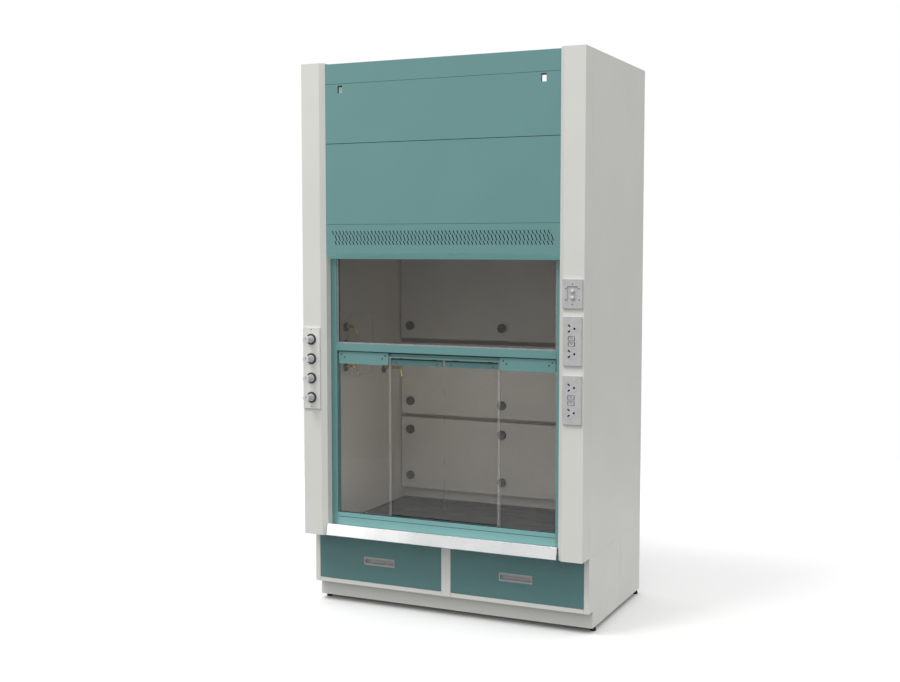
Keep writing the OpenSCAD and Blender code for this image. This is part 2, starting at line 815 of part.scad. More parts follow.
module cabinet_carcass() color(off_white) {
    both_sides() edge_pan([half_w - edge_w, half_w], sheet);
    edge_pan([-divider_half, divider_half], sheet);
    b = cabinet_base;
    both_sides() across([divider_half + seam, half_w - edge_w - seam]) polygon([
        [post_d, b], [cabinet_back - 2, b], [cabinet_back - 2, b + sheet], [post_d + sheet, b + sheet],
        [post_d + sheet, 102.5], [post_d + 19, 102.5], [post_d + 19, 104], [post_d, 104]
    ]);
    for (x = [[edge_w - half_w + seam, -divider_half - seam], [divider_half + seam, half_w - edge_w - seam]])
        block(x, [cabinet_back - sheet, cabinet_back], [b, post_base - seam]);
}

module plinth() color(off_white) {
    z = [plinth_base, cabinet_base];
    difference() {
        block([-half_w, half_w], [plinth_d, cabinet_back], z);
        block([post_t - half_w, half_w - post_t], [plinth_d + post_t, cabinet_back - post_t], [z[0] - 1, z[1] + 1]);
    }
    both_sides() difference() {
        block([foot_x - 17, half_w - post_t], [foot_front_d - 16, foot_front_d + 16], [z[0], z[0] + 4]);
        rod_z(foot_x, foot_front_d, [z[0] - 1, z[0] + 5], foot_stem_r + fit);
    }
}

module in_bay(side) translate([side * bay_mid, 0, 0]) children();

// Fixed halves of the four drawer runners: channels that open towards the drawer
module drawer_runners() color(steel_grey)
    for (side = [-1, 1])
        in_bay(side) both_sides() difference() {
            block([bay_half - 12.5, bay_half], [105, 180 + drawer_travel], runner_z);
            block([bay_half - 13, bay_half - sheet], [104, 181 + drawer_travel],
                [runner_z[0] + 3, runner_z[1] - 3]);
        }

module drawer_front(side) color(teal)
    in_bay(side) difference() {
        pan([drawer_gap - bay_half, bay_half - drawer_gap], [post_d, post_d + drawer_face_t], drawer_z, sheet);
        block([-66.5, 66.5], [post_d - 1, post_d + 4], [pull_z - 10.5, pull_z + 10.5]);
    }

// Open box with a runner bar along each side
module drawer_box(side) color(steel_grey)
    in_bay(side) {
        w = bay_half - 16;
        d = [post_d + drawer_face_t + 0.1, 470];
        difference() {
            block([-w, w], d, [112, 270]);
            block([sheet - w, w - sheet], [d[0] + sheet, d[1] - sheet], [112 + sheet, 271]);
        }
        both_sides() block([w - 0.5, w + 12], [106, 470], [runner_z[0] + 5.5, runner_z[1] - 5.5]);
    }

module drawer_pull(side) color([0.5, 0.5, 0.5])
    in_bay(side) difference() {
        union() {
            block([-pull_size[0] / 2, pull_size[0] / 2], [post_d - 1.6, post_d],
                [pull_z - pull_size[1] / 2, pull_z + pull_size[1] / 2]);
            block([-66, 66], [post_d - 0.5, post_d + 13], [pull_z - 10, pull_z + 10]);
        }
        block([-64.8, 64.8], [post_d - 3, post_d + 11.5], [pull_z - 8.8, pull_z + 8]);
    }

// Levelling foot: pad, cone and threaded stem
module foot(x, d) color(black) {
    rod_z(x, d, [0, 5], 12);
    translate([x, y_front + d, 5]) cylinder(h = 15, r1 = 11.5, r2 = 7.5);
    rod_z(x, d, [19, 50 + foot_travel], foot_stem_r);
}

outer_panels();
post_left();
post_right();
header_panels();
header_access_panel();
header_frame();
support_frame();
lining_panels();
baffles();
baffle_knobs();
worktop();
airfoil_sill();
exhaust_collar();
light_fitting();
sash_guides();
sash_stiles();
sash_rails();
sash_track_rail();
sash_upper_glass();
sash_gasket();
front_hanger(pane_laps[0]);  // hanger_front_left
front_pane(pane_laps[0]);  // pane_front_left
rear_hanger(pane_laps[1]);  // hanger_rear_left
rear_pane(pane_laps[1]);  // pane_rear_left
rear_hanger(pane_laps[2]);  // hanger_rear_right
rear_pane(pane_laps[2]);  // pane_rear_right
mirror([1, 0, 0]) front_hanger(pane_laps[0]);  // hanger_front_right
front_pane(pane_laps[3]);  // pane_front_right
sash_belts();
cross_shaft();
lower_pulleys();
counterweights();
service_plate();
service_knob(0);  // service_knob_1
service_knob(1);  // service_knob_2
service_knob(2);  // service_knob_3
service_knob(3);  // service_knob_4
escutcheons();
service_fittings();
outlet_plates();
push_button(button_z[0]);  // push_button_upper
push_button(button_z[1]);  // push_button_lower
rocker(power_z[0], 1);  // rocker_1
rocker(power_z[0], -1);  // rocker_2
rocker(power_z[1], 1);  // rocker_3
rocker(power_z[1], -1);  // rocker_4
plate_screws();
cabinet_carcass();
plinth();
drawer_runners();
drawer_front(-1);  // drawer_front_left
drawer_box(-1);  // drawer_box_left
drawer_pull(-1);  // drawer_pull_left
drawer_front(1);  // drawer_front_right
drawer_box(1);  // drawer_box_right
drawer_pull(1);  // drawer_pull_right
foot(-foot_x, foot_front_d);  // foot_front_left
foot(foot_x, foot_front_d);  // foot_front_right
foot(-foot_x, foot_rear_d);  // foot_rear_left
foot(foot_x, foot_rear_d);  // foot_rear_right
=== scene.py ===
"""Bench fume hood: finishes, small visible pieces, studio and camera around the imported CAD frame."""

import json
import math
import random

import bmesh
import bpy
from mathutils import Matrix, Vector


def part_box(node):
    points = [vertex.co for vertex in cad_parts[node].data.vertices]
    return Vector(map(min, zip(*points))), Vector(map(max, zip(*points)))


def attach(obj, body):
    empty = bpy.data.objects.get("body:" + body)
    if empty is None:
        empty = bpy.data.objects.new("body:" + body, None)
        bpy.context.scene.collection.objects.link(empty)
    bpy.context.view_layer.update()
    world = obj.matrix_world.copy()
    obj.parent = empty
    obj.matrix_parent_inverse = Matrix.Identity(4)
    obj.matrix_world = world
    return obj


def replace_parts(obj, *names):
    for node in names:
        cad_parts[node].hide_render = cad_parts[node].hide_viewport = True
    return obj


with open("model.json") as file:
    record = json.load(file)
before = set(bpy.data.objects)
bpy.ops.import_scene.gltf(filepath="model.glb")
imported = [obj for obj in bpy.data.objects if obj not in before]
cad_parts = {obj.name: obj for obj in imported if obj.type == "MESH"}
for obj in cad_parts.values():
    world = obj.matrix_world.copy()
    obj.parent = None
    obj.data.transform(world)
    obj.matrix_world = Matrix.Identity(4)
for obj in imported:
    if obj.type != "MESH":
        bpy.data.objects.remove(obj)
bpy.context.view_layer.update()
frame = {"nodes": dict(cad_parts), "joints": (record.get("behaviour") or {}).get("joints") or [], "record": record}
nodes = frame["nodes"]
chance = random.Random(7)

# ---------------------------------------------------------------- finishes


class Finish:
    """A Principled material with short calls for the textures that vary it. All sizes are in metres."""

    def __init__(self, name, metallic=0.0, **sockets):
        self.material = bpy.data.materials.new(name)
        self.material.use_nodes = True
        self.tree = self.material.node_tree
        self.shader = self.tree.nodes["Principled BSDF"]
        self.shader.inputs["Metallic"].default_value = metallic
        for socket, value in sockets.items():
            self.shader.inputs[socket.replace("_", " ")].default_value = value
        self.place = self.add("ShaderNodeTexCoord")

    def add(self, kind, **settings):
        node = self.tree.nodes.new(kind)
        for key, value in settings.items():
            setattr(node, key, value)
        return node

    def join(self, source, target):
        self.tree.links.new(source, target)

    def noise(self, size, detail=3.0, stretch=(1, 1, 1)):
        """Cloudy noise whose blotches are about size across, drawn out by stretch along each axis."""
        mapping = self.add("ShaderNodeMapping")
        mapping.inputs["Scale"].default_value = [1 / s for s in stretch]
        self.join(self.place.outputs["Object"], mapping.inputs["Vector"])
        texture = self.add("ShaderNodeTexNoise")
        texture.inputs["Scale"].default_value = 1 / size
        texture.inputs["Detail"].default_value = detail
        self.join(mapping.outputs["Vector"], texture.inputs["Vector"])
        return texture.outputs["Fac"]

    def ramp(self, value, low, high, start=0.35, end=0.65):
        node = self.add("ShaderNodeMapRange")
        node.inputs["From Min"].default_value = start
        node.inputs["From Max"].default_value = end
        node.inputs["To Min"].default_value = low
        node.inputs["To Max"].default_value = high
        self.join(value, node.inputs["Value"])
        return node.outputs["Result"]

    def blend(self, share, a, b):
        """Colour a where share is 0 and b where it is 1. Each is a colour or another node's output."""
        node = self.add("ShaderNodeMix", data_type="RGBA")
        self.join(share, node.inputs["Factor"])
        for socket, value in ((node.inputs[6], a), (node.inputs[7], b)):
            if isinstance(value, tuple):
                socket.default_value = (*value, 1)
            else:
                self.join(value, socket)
        return node.outputs[2]

    def blend_value(self, share, a, b):
        """The output a where share is 0, and the number b where it is 1."""
        node = self.add("ShaderNodeMix", data_type="FLOAT")
        self.join(share, node.inputs["Factor"])
        self.join(a, node.inputs[2])
        node.inputs[3].default_value = b
        return node.outputs[0]

    def component(self, vector, axis):
        """Size of one component of a vector, whatever its sign."""
        split = self.add("ShaderNodeSeparateXYZ")
        self.join(vector, split.inputs["Vector"])
        size = self.add("ShaderNodeMath", operation="ABSOLUTE")
        self.join(split.outputs[axis], size.inputs[0])
        return size.outputs[0]

    def times(self, a, b):
        """Product of two outputs."""
        node = self.add("ShaderNodeMath", operation="MULTIPLY")
        self.join(a, node.inputs[0])
        self.join(b, node.inputs[1])
        return node.outputs[0]

    def within(self, axis, low, high):
        """1 where the distance from the middle plane of an axis is between low and high, and 0 elsewhere."""
        distance = self.component(self.place.outputs["Object"], axis)
        above = self.ramp(distance, 0, 1, low - 0.0001, low + 0.0001)
        return self.times(above, self.ramp(distance, 1, 0, high - 0.0001, high + 0.0001))

    def colour(self, value):
        self.join(value, self.shader.inputs["Base Color"])

    def roughness(self, value):
        self.join(value, self.shader.inputs["Roughness"])

    def bump(self, height, depth, below=None):
        node = self.add("ShaderNodeBump")
        node.inputs["Distance"].default_value = depth
        self.join(height, node.inputs["Height"])
        if below is not None:
            self.join(below, node.inputs["Normal"])
        self.join(node.outputs["Normal"], self.shader.inputs["Normal"])
        return node.outputs["Normal"]


def shade(colour, amount):
    return tuple(min(1.0, c * amount) for c in colour)


def powder_coat(name, colour, rough, slanted=1.0, dark=()):
    """Baked powder coat: faint cloudiness, a fine orange peel and a few duller patches.
    Faces that slant between upright and flat are lighter or darker by the factor slanted, as painted
    light and shade. The coat is nearly black, as painted shade, inside every (axis, low, high) range of
    dark. Both are set to the photo's brightness, and are not known paint shades."""
    f = Finish(name, Specular_IOR_Level=0.4)
    cloud = f.ramp(f.noise(0.35, 4), 0, 1)
    coat = f.blend(cloud, shade(colour, 0.98), shade(colour, 1.015))
    # Painted light and shade: faces that slant get a lighter or darker copy of the colour
    if slanted != 1.0:
        tilt = f.component(f.place.outputs["Normal"], "Z")
        share = f.times(f.ramp(tilt, 0, 1, 0.55, 0.75), f.ramp(tilt, 1, 0, 0.88, 0.97))
        coat = f.blend(share, coat, shade(colour, slanted))
    # Painted shade: the coat is nearly black inside the dark ranges
    if dark:
        share = f.within(*dark[0])
        for limits in dark[1:]:
            share = f.times(share, f.within(*limits))
        coat = f.blend(share, coat, shade(colour, 0.12))
    f.colour(coat)
    f.roughness(f.ramp(f.noise(0.09, 5), rough - 0.05, rough + 0.07))
    f.bump(f.noise(0.0022, 2), 0.00006, f.bump(f.noise(0.012, 2), 0.00010))
    return f.material


def laminate(name, colour):
    """Compression-moulded lining board with a faint fibre mottle. Side boards are paler: painted light."""
    f = Finish(name, Specular_IOR_Level=0.35)
    fibre = f.noise(0.006, 5, (1, 1, 2.5))
    cloud = f.blend(f.ramp(f.noise(0.28, 4), 0, 1), shade(colour, 0.95), shade(colour, 1.03))
    board = f.blend(f.ramp(fibre, 0, 0.16), cloud, shade(colour, 0.72))
    # Painted light: faces turned to the sides, the side boards, are paler
    sideways_painted_light = f.component(f.place.outputs["Normal"], "X")
    f.colour(f.blend(f.ramp(sideways_painted_light, 0, 0.8, 0.6, 0.9), board, shade(colour, 1.30)))
    f.roughness(f.ramp(f.noise(0.05, 4), 0.42, 0.56))
    f.bump(fibre, 0.00008)
    return f.material


def moulding(name, colour, rough):
    """Moulded plastic with a fine spark-eroded grain."""
    f = Finish(name, Specular_IOR_Level=0.45)
    f.colour(f.blend(f.ramp(f.noise(0.03, 3), 0, 1), shade(colour, 0.94), shade(colour, 1.04)))
    f.roughness(f.ramp(f.noise(0.011, 4), rough - 0.05, rough + 0.06))
    f.bump(f.noise(0.0009, 2), 0.00005)
    return f.material


def cast_resin(name, colour):
    """Dull cast worktop with fine pale and dark specks and wiped, slightly shinier streaks."""
    f = Finish(name, Specular_IOR_Level=0.18)
    specks = f.ramp(f.noise(0.0028, 2), 0, 1, 0.58, 0.70)
    base = f.blend(f.ramp(f.noise(0.2, 4), 0, 1), shade(colour, 0.88), shade(colour, 1.10))
    f.colour(f.blend(specks, base, shade(colour, 1.7)))
    f.roughness(f.ramp(f.noise(0.03, 4, (3, 1, 1)), 0.44, 0.54))
    f.bump(f.noise(0.004, 3), 0.00010)
    return f.material


def brushed(name, colour, rough, stretch, dull=0.10, metallic=1.0):
    """Metal with fine lines drawn out along stretch."""
    f = Finish(name, metallic=metallic)
    lines = f.noise(0.0011, 3, stretch)
    f.colour(f.blend(f.ramp(f.noise(0.15, 4), 0, 1), shade(colour, 0.93), shade(colour, 1.03)))
    f.roughness(f.ramp(lines, rough - 0.05, rough + dull))
    f.bump(lines, 0.00001)
    return f.material


def painted_shade_black(name):
    """Dead black, laid over slots and holes as painted shade."""
    f = Finish(name, Specular_IOR_Level=0.04)
    f.colour(f.blend(f.ramp(f.noise(0.01, 3), 0, 1), (0.003, 0.004, 0.004), (0.005, 0.006, 0.006)))
    f.roughness(f.ramp(f.noise(0.004, 3), 0.80, 0.95))
    f.bump(f.noise(0.0008, 2), 0.00006)
    return f.material


def castings(name, colour):
    """Sand-cast iron under thin paint."""
    f = Finish(name, metallic=0.35)
    lumps = f.noise(0.006, 5)
    f.colour(f.blend(f.ramp(f.noise(0.04, 5), 0, 1), shade(colour, 0.8), shade(colour, 1.3)))
    f.roughness(f.ramp(lumps, 0.55, 0.8))
    f.bump(lumps, 0.0006)
    return f.material


def polished_brass(name):
    """Brass, a little browner where it has been left to tarnish."""
    f = Finish(name, metallic=1.0)
    stain = f.ramp(f.noise(0.018, 5), 0, 1, 0.45, 0.75)
    f.colour(f.blend(stain, (0.74, 0.58, 0.32), (0.50, 0.35, 0.17)))
    f.roughness(f.ramp(f.noise(0.006, 4), 0.20, 0.38))
    f.bump(f.noise(0.0008, 2, (1, 30, 30)), 0.00002)
    return f.material


def wall_roses(name):
    """Moulded roses: black on the posts, and dark grey on the chamber wall."""
    f = Finish(name, Specular_IOR_Level=0.45)
    outside = f.ramp(f.component(f.place.outputs["Object"], "X"), 0, 1, 0.51, 0.52)
    mottle = f.blend(f.ramp(f.noise(0.03, 3), 0, 1), (0.13, 0.13, 0.13), (0.15, 0.15, 0.15))
    f.colour(f.blend(outside, mottle, (0.042, 0.042, 0.044)))
    f.roughness(f.ramp(f.noise(0.011, 4), 0.40, 0.50))
    f.bump(f.noise(0.0009, 2), 0.00005)
    return f.material


def rubber(name, colour):
    f = Finish(name, Specular_IOR_Level=0.3)
    f.colour(f.blend(f.ramp(f.noise(0.01, 4), 0, 1), shade(colour, 0.85), shade(colour, 1.15)))
    f.roughness(f.ramp(f.noise(0.004, 3), 0.65, 0.82))
    f.bump(f.noise(0.0007, 2), 0.00006)
    return f.material


def float_glass(name, clear=0.97):
    """Glass with frosted pale edges and a trace of smears. Edges that meet at the centre stay clear.
    The index is below real glass's 1.52, to keep the reflections as weak as the photo's."""
    f = Finish(name, Transmission_Weight=1.0, IOR=1.42)
    facing = f.component(f.place.outputs["Normal"], "Y")
    off_centre = f.component(f.place.outputs["Object"], "X")
    edge = f.times(f.ramp(facing, 1, 0, 0.2, 0.8), f.ramp(off_centre, 0, 1, 0.02, 0.04))
    f.colour(f.blend(edge, (clear, clear * 1.005, clear), (0.40, 0.45, 0.43)))
    f.join(f.ramp(edge, 1.0, 0.25, 0, 1), f.shader.inputs["Transmission Weight"])
    meeting = f.times(f.ramp(facing, 1, 0, 0.2, 0.8), f.ramp(off_centre, 1, 0, 0.02, 0.04))
    f.join(f.ramp(meeting, 1, 0, 0, 1), f.shader.inputs["Alpha"])
    smears = f.ramp(f.noise(0.07, 5, (1, 1, 3)), 0.0, 0.03, 0.5, 0.8)
    f.roughness(f.blend_value(edge, smears, 0.45))
    return f.material


TEAL = (0.145, 0.312, 0.307)
FINISHES = {
    "casing_paint": powder_coat("off_white_coat", (0.74, 0.74, 0.70), 0.42),
    "teal_paint": powder_coat("teal_coat", TEAL, 0.42),
    "black_paint": powder_coat("black_coat", (0.012, 0.012, 0.012), 0.5),
    "frame_paint": powder_coat("grey_coat", (0.32, 0.33, 0.33), 0.45),
    "lining_laminate": laminate("lining_board", (0.655, 0.615, 0.555)),
    "black_plastic": moulding("black_moulding", (0.042, 0.042, 0.044), 0.42),
    "worktop_resin": cast_resin("worktop_resin", (0.026, 0.027, 0.028)),
    "stainless": brushed("brushed_stainless", (0.88, 0.885, 0.89), 0.22, (60, 1, 1), 0.03),
    "white_plastic": moulding("white_moulding", (0.80, 0.80, 0.78), 0.45),
    "lamp_white": powder_coat("lamp_enamel", (0.82, 0.82, 0.81), 0.38),
    "clear_glass": float_glass("float_glass"),
    "tinted_glass": float_glass("tinted_glass", 0.62),
    "gasket_rubber": rubber("grey_gasket", (0.33, 0.32, 0.33)),
    "belt_rubber": rubber("belt_rubber", (0.02, 0.02, 0.02)),
    "shaft_steel": brushed("ground_steel", (0.58, 0.58, 0.59), 0.30, (1, 12, 12)),
    "weight_iron": castings("cast_iron", (0.10, 0.105, 0.11)),
    "plate_grey": moulding("grey_moulding", (0.53, 0.53, 0.535), 0.42),
    "satin_aluminium": brushed("turned_aluminium", (0.68, 0.68, 0.685), 0.44, (1, 0.35, 1), 0.08, 0.6),
    "fitting_brass": polished_brass("brass"),
    "pull_grey": moulding("pull_moulding", (0.36, 0.36, 0.36), 0.42),
}

for row in frame["record"]["subparts"]:
    mesh = nodes[row["node"]].data
    mesh.materials.clear()
    mesh.materials.append(FINISHES[row["material_slot"]])

# Dark bands of painted shade, set where the photo is darker than the light here leaves the recesses, as
# ranges of distance from each middle plane in metres
SLOT_WALL_SHADE = (("Y", 0.3377, 0.3388), ("Z", 1.48, 1.55))
LIGHT_TRAP_SHADE = (("Z", 1.45, 1.556),)
TRACK_CORNER_SHADE = (("Y", 0.277, 0.2903), ("Z", 1.0535, 1.058))
HANGER_TOP_SHADE = (("Z", 1.031, 1.04),)

# Nodes whose finish differs from the rest of their material slot
special = {
    # Painted light: the slanted lip under the grille is 3.2 times as light; painted shade in the slot walls
    "header_panels": powder_coat("header_coat_painted_light_and_shade", TEAL, 0.42, 3.2, SLOT_WALL_SHADE),
    # Painted shade: the channel is nearly black in the light trap behind the grille
    "header_frame": powder_coat("channel_coat_painted_shade", (0.07, 0.15, 0.148), 0.5, 1.0, LIGHT_TRAP_SHADE),
    # Painted shade: a dark band in the corner of the pane track
    "sash_track_rail": powder_coat("track_coat_painted_shade", TEAL, 0.42, 1.0, TRACK_CORNER_SHADE),
    # Painted light: the sash rails get a lighter copy of the teal
    "sash_rails": powder_coat("rail_coat_painted_light", (0.185, 0.395, 0.388), 0.42),
    "escutcheons": wall_roses("rose_moulding"),
    "push_button_upper": moulding("button_moulding", (0.60, 0.60, 0.60), 0.52),
}
special["push_button_lower"] = special["push_button_upper"]
# Painted shade: a darker copy of the teal for the recessed rear hangers, nearly black along their tops
recess_painted_shade = powder_coat("recess_coat_painted_shade", (0.082, 0.190, 0.187), 0.45, 1.0, HANGER_TOP_SHADE)
# Painted shade: a darker copy of the teal for the drawer fronts under the overhang
drawer_painted_shade = powder_coat("drawer_coat_painted_shade", (0.090, 0.202, 0.199), 0.45)
for side in ("left", "right"):
    special["hanger_rear_" + side] = recess_painted_shade
    special["drawer_front_" + side] = drawer_painted_shade
    for end in ("front", "rear"):
        special["foot_%s_%s" % (end, side)] = FINISHES["belt_rubber"]
for node, material in special.items():
    nodes[node].data.materials[0] = material

# ---------------------------------------------------------------- small visible pieces


def solids(node):
    """(lowest corner, highest corner) of each separate solid of a CAD node, from left to right."""
    bm = bmesh.new()
    bm.from_mesh(nodes[node].data)
    bmesh.ops.remove_doubles(bm, verts=bm.verts, dist=1e-6)
    bm.verts.index_update()
    seen = set()
    boxes = []
    for start in bm.verts:
        if start.index in seen:
            continue
        seen.add(start.index)
        group = [start]
        for vert in group:
            for edge in vert.link_edges:
                other = edge.other_vert(vert)
                if other.index not in seen:
                    seen.add(other.index)
                    group.append(other)
        low = Vector([min(vert.co[axis] for vert in group) for axis in range(3)])
        high = Vector([max(vert.co[axis] for vert in group) for axis in range(3)])
        boxes.append((low, high))
    bm.free()
    return sorted(boxes, key=lambda box: [round(c, 4) for c in box[0]])


def middle(box):
    return (box[0] + box[1]) / 2


def piece(name, bm, body, finish, material=None):
    """Turns a finished bmesh into a visible piece that moves with a CAD body. It takes the finish of the
    material slot finish, unless material gives it a look of its own."""
    bmesh.ops.recalc_face_normals(bm, faces=bm.faces)
    mesh = bpy.data.meshes.new(name)
    bm.to_mesh(mesh)
    bm.free()
    mesh.shade_smooth()
    mesh.set_sharp_from_angle(angle=math.radians(SMOOTH_BELOW))
    mesh.materials.append(material or FINISHES[finish])
    made = bpy.data.objects.new(name, mesh)
    bpy.context.scene.collection.objects.link(made)
    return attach(made, body)


def turned(bm, place, direction, profile, steps=28):
    """Adds a turned solid. profile lists (distance along direction, radius) in mm, from end to end."""
    turn = Matrix.Translation(place) @ Vector(direction).to_track_quat("Z", "Y").to_matrix().to_4x4()
    rings = []
    for along, radius in profile:
        ring = []
        for i in range(steps if radius else 1):
            angle = math.tau * i / steps
            spot = Vector((radius * math.cos(angle), radius * math.sin(angle), along)) / 1000
            ring.append(bm.verts.new(turn @ spot))
        rings.append(ring)
    for low, high in zip(rings, rings[1:]):
        for i in range(steps):
            corners = [low[i % len(low)], low[(i + 1) % len(low)]]
            corners += [high[(i + 1) % len(high)], high[i % len(high)]]
            bm.faces.new(list(dict.fromkeys(corners)))


def raised(bm, place, across, up, outlines, depths):
    """Adds a flat shape, from outlines of (across, up) points in mm at depths in mm along across x up."""
    across = Vector(across)
    up = Vector(up)
    out = across.cross(up)
    rings = []
    for outline, depth in zip(outlines, depths):
        rings.append([bm.verts.new(place + (across * a + up * b + out * depth) / 1000) for a, b in outline])
    for low, high in zip(rings, rings[1:]):
        for i in range(len(low)):
            j = (i + 1) % len(low)
            bm.faces.new((low[i], low[j], high[j], high[i]))
    return rings


def slab(bm, place, across, up, outline, depth):
    """Adds a flat closed plate of the outline, which stands out by depth mm along across x up."""
    back, front = raised(bm, place, across, up, (outline, outline), (0, depth))
    bm.faces.new(back)
    bm.faces.new(front)


def rim(bm, place, across, up, outer, inner, depth):
    """Adds a flat ring between two outlines, which stands out by depth mm along across x up."""
    raised(bm, place, across, up, (inner, outer, outer, inner, inner), (0, 0, depth, depth, 0))
    bmesh.ops.remove_doubles(bm, verts=bm.verts, dist=1e-7)


def rounded(width, height, radius, steps=6):
    """Outline of a rectangle with rounded corners, in mm, around its centre."""
    points = []
    for quarter, (x, y) in enumerate(((1, 1), (-1, 1), (-1, -1), (1, -1))):
        for i in range(steps + 1):
            angle = math.pi / 2 * (quarter + i / steps)
            across = x * (width / 2 - radius) + radius * math.cos(angle)
            points.append((across, y * (height / 2 - radius) + radius * math.sin(angle)))
    return points


def turned_outline(outline, degrees):
    """The outline turned clockwise as seen from the front."""
    c = math.cos(math.radians(degrees))
    s = math.sin(math.radians(degrees))
    return [(a * c + b * s, b * c - a * s) for a, b in outline]


def screw(heads, cross_shades, place, radius):
    """Adds a low domed screw head facing the front, and a dark cross as painted shade for its recess."""
    r = radius
    turned(heads, place, FRONT, [(0, 0), (0, r), (r * 0.2, r), (r * 0.34, r * 0.8), (r * 0.4, 0)], 20)
    arm = r * 0.6
    half = r * 0.13
    cross = [(half, half), (half, arm), (-half, arm), (-half, half), (-arm, half), (-arm, -half)]
    cross += [(-half, -half), (-half, -arm), (half, -arm), (half, -half), (arm, -half), (arm, half)]
    cross = turned_outline(cross, chance.uniform(0, 90))
    # Painted shade: the flat dark cross stands in for the shade in the recess
    slab(cross_shades, Vector(place) + Vector(FRONT) * r * 0.0002, RIGHT, UP, cross, r * 0.22)


def screws(name, body, places, radius):
    """Adds one piece of screw heads and one of the dark cross marks, painted shade for their recesses."""
    heads = bmesh.new()
    cross_shades = bmesh.new()
    for place in places:
        screw(heads, cross_shades, place, radius)
    piece(name + "_cross_shades", cross_shades, body, "black_paint")
    return piece(name + "_heads", heads, body, "black_plastic")


def plate_fixings():
    """Screws of the three cover plates."""
    places = [Vector((middle(box).x, box[1].y, middle(box).z)) for box in solids("plate_screws")]
    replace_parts(screws("plate_screw", "root", places, 2.4), "plate_screws")


def hanger_fixings():
    """Screws on the faces of the four pane hangers: two rows on each front one and one on each rear one."""
    for side in ("left", "right"):
        low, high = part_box("hanger_front_" + side)
        places = []
        for inset, drop in ((0.014, 0.0115), (0.027, 0.023)):
            for x in (low.x + inset, high.x - inset):
                places.append(Vector((x, low.y + 0.0008, high.z - drop)))
        screws("hanger_front_%s_screw" % side, "front_%s_pane" % side, places, 3.3)
        low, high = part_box("hanger_rear_" + side)
        places = [Vector((x, low.y + 0.0007, low.z + 0.009)) for x in (low.x + 0.025, high.x - 0.025)]
        screws("hanger_rear_%s_screw" % side, "rear_%s_pane" % side, places, 2.8)


def baffle_clamps():
    """Turned knobs that clamp the baffle boards, with the spacers behind the boards."""
    bm = bmesh.new()
    for box in solids("baffle_knobs"):
        back = Vector((middle(box).x, box[1].y, middle(box).z))
        profile = [(0, 0), (0, 8), (35, 8), (35, 4), (40, 4), (40, 18.4), (41, 19.5), (49.6, 19.5)]
        profile += [(51.2, 18.6), (52, 16.8), (52, 8), (51.2, 6.6), (50.9, 0)]
        turned(bm, back, FRONT, profile, 36)
    grey = moulding("clamp_moulding", (0.10, 0.10, 0.10), 0.5)
    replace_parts(piece("baffle_clamp_knobs", bm, "root", "black_plastic", grey), "baffle_knobs")


def outlets():
    """Black shutter plates in the outlets' holes, larger than the holes and just proud, whose black also paints
    the shade in and round the holes, and outlines round the rockers.
    """
    shutter_shades = bmesh.new()
    outlines = bmesh.new()
    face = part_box("outlet_plates")[0].y
    for box in solids("outlet_plates"):
        if box[1].z - box[0].z < 0.15:
            continue
        centre = Vector((middle(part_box("rocker_1")).x + 0.0025, face, middle(box).z))
        for row in (-0.047, 0.047):
            for s in (-1, 1):
                spot = centre + Vector((-0.0115, 0.007, row + s * 0.0107))
                slab(shutter_shades, spot, RIGHT, UP, turned_outline(rounded(11.2, 5.4, 2.6), s * 38), 7.15)
            spot = centre + Vector((0.0092, 0.007, row))
            turned(shutter_shades, spot, FRONT, [(0, 0), (0, 4.2), (7.15, 4.2), (7.15, 0)])
    for n in range(1, 5):
        spot = middle(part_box("rocker_%d" % n))
        spot.y = face
        rim(outlines, spot, RIGHT, UP, rounded(27.6, 17.2, 2.4), rounded(25.4, 15.4, 0.9), 0.12)
    # The shutter plates are dead black: painted shade in and round the outlets' holes
    piece("outlet_shutter_shades", shutter_shades, "root", "black_paint", SLOT_PAINTED_SHADE)
    piece("rocker_outlines", outlines, "root", "black_plastic")


def rocker_marks():
    """A dark V across the ridge of each rocker."""
    pivots = {joint["child"]: joint.get("pos_m") for joint in frame["joints"]}
    for n in range(1, 5):
        body = "switch_%d" % n
        turn = Matrix.Rotation(math.radians(-8), 3, "Z")
        ridge = Vector(pivots[body]) + turn @ Vector((0, -0.00455, 0))
        ridge.z = middle(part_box("rocker_%d" % n)).z
        slope = math.radians(7.1)
        bm = bmesh.new()
        for s in (-1, 1):
            across = turn @ Vector((math.cos(slope), -s * math.sin(slope), 0))
            stroke = [(0, -3.4), (s * 4.6, 3.4), (s * 2.9, 3.4), (0, -1.0)]
            slab(bm, ridge, across, UP, stroke, 0.14)
        piece("rocker_%d_mark" % n, bm, body, "black_plastic")


def button_rings():
    """Moulded rings round the two push-buttons."""
    bm = bmesh.new()
    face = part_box("outlet_plates")[0].y
    for name in ("upper", "lower"):
        spot = middle(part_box("push_button_" + name))
        spot.y = face + 0.004
        circles = [rounded(2 * r, 2 * r, r) for r in (9.0, 7.8)]
        rim(bm, spot, RIGHT, UP, circles[0], circles[1], 0.9)
    piece("button_rings", bm, "root", "plate_grey")


def knob_marks():
    """The dark line let into the face of each service knob."""
    for n in range(1, 5):
        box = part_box("service_knob_%d" % n)
        spot = middle(box)
        spot.y = box[0].y + 0.001
        bm = bmesh.new()
        slab(bm, spot, RIGHT, UP, [(-0.75, 0.6), (0.75, 0.6), (0.75, 12), (-0.75, 12)], 0.6)
        piece("service_knob_%d_line" % n, bm, "knob_%d" % n, "black_plastic")


